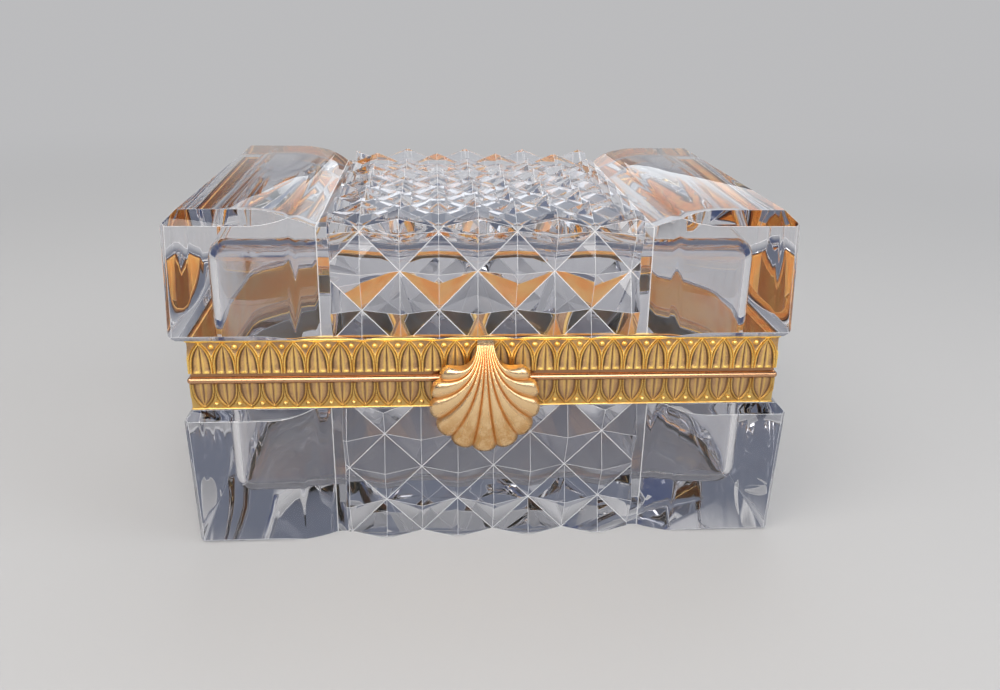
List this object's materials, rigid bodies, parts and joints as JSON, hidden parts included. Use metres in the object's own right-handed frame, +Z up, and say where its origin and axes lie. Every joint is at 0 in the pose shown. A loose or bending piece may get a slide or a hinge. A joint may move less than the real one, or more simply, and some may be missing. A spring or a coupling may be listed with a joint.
{
  "type": "glass casket box",
  "caption": "Rectangular cut-crystal casket: thick glass base and hinged glass lid in gilt brass galleries, with a shell-shaped thumb-piece at the front.",
  "frame": {"origin": "centre of the flat underside that the box stands on", "axes": "+X along the width to the viewer's right, +Y to the back where the hinges are, +Z up; the shell is on the -Y side"},
  "size_m": [0.1615, 0.1119, 0.092],
  "materials": {
    "crystal": "polished clear lead crystal, faintly cool",
    "gilt_brass": "stamped gilt brass, bright on the relief, matt brown in the recesses",
    "polished_gilt": "burnished rose-gold gilding, worn on the high spots",
    "plain_brass": "plain filed brass with light tarnish",
    "steel": "drawn steel wire, dull",
    "setting_cement": "ochre-tinted setting plaster, chalky"
  },
  "bodies": {
    "base": {"base_glass": "crystal", "base_cement": "setting_cement", "base_collar": "gilt_brass", "base_gallery": "gilt_brass", "base_rim": "polished_gilt", "base_hinge_left": "plain_brass", "base_hinge_right": "plain_brass", "hinge_pin_left": "steel", "hinge_pin_right": "steel", "base_hinge_rivets": "plain_brass"},
    "lid": {"lid_glass": "crystal", "lid_cement": "setting_cement", "lid_collar": "gilt_brass", "lid_gallery": "gilt_brass", "lid_rim": "polished_gilt", "lid_hinge_left": "plain_brass", "lid_hinge_right": "plain_brass", "lid_hinge_rivets": "plain_brass", "shell_clasp": "polished_gilt", "clasp_studs": "plain_brass", "catch_tongue": "plain_brass"}
  },
  "joints": [
    {"name": "lid_hinge", "type": "hinge", "parent": "base", "child": "lid", "pos_m": [0, 0.0522, 0.04845], "axis": [-1, 0, 0], "range_deg": [0, 100]}
  ]
}
